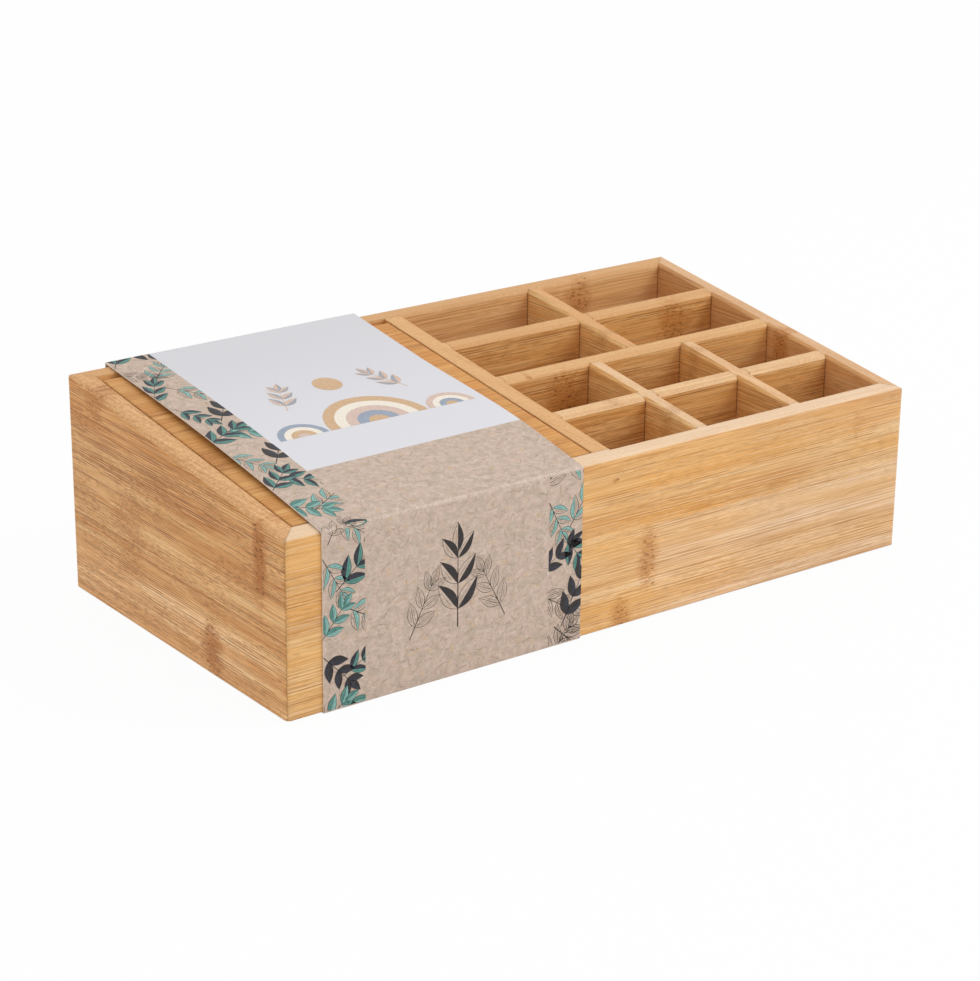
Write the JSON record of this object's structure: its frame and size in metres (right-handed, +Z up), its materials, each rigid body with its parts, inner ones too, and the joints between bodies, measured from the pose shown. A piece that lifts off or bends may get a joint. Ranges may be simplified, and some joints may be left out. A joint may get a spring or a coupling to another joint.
{
  "type": "vanity organizer",
  "caption": "Bamboo box with a sloping top: a bin under a hinged mirror lid on the left, an open grid of compartments on the right, and a card sleeve that slides off the left end.",
  "frame": {"origin": "middle of the surface that the organizer stands on, in both directions", "axes": "+X to the right along the front, +Y to the back, +Z up"},
  "size_m": [0.269, 0.1412, 0.0813],
  "materials": {
    "bamboo_board": "satin lacquer",
    "bamboo_divider": "satin lacquer",
    "bamboo_base": "satin lacquer",
    "mirror_glass": "polished",
    "foam_tape": "matt",
    "pin_steel": "drawn",
    "printed_card": "matt, printed"
  },
  "bodies": {
    "case": {"front_panel": "bamboo_board", "back_panel": "bamboo_board", "left_panel": "bamboo_board", "right_panel": "bamboo_board", "base_panel": "bamboo_base", "partition": "bamboo_board", "row_divider_front": "bamboo_divider", "row_divider_middle": "bamboo_divider", "row_divider_rear": "bamboo_divider", "column_divider_rear": "bamboo_divider", "column_divider_front_left": "bamboo_divider", "column_divider_front_right": "bamboo_divider", "hinge_pin_left": "pin_steel", "hinge_pin_right": "pin_steel", "lid_rest_cleat": "bamboo_base"},
    "lid": {"lid_board": "bamboo_board", "mirror": "mirror_glass", "mirror_tape": "foam_tape"},
    "sleeve": {"sleeve": "printed_card"},
    "sleeve_top": {"sleeve_top": "printed_card"}
  },
  "joints": [
    {"name": "lid_hinge", "type": "hinge", "parent": "case", "child": "lid", "pos_m": [0, 0.0573, 0.07443], "axis": [-1, 0, 0], "range_deg": [0, 104]},
    {"name": "sleeve_slide", "type": "slide", "parent": "case", "child": "sleeve", "axis": [-1, 0, 0], "range_m": [0, 0.13]},
    {"name": "sleeve_top_fold", "type": "hinge", "parent": "sleeve", "child": "sleeve_top", "pos_m": [0, 0.0704, 0.08105], "axis": [-1, 0, 0], "range_deg": [0, 104]}
  ],
  "couplings": [
    {"joint": "sleeve_top_fold", "follows": "lid_hinge", "ratio": 1}
  ]
}
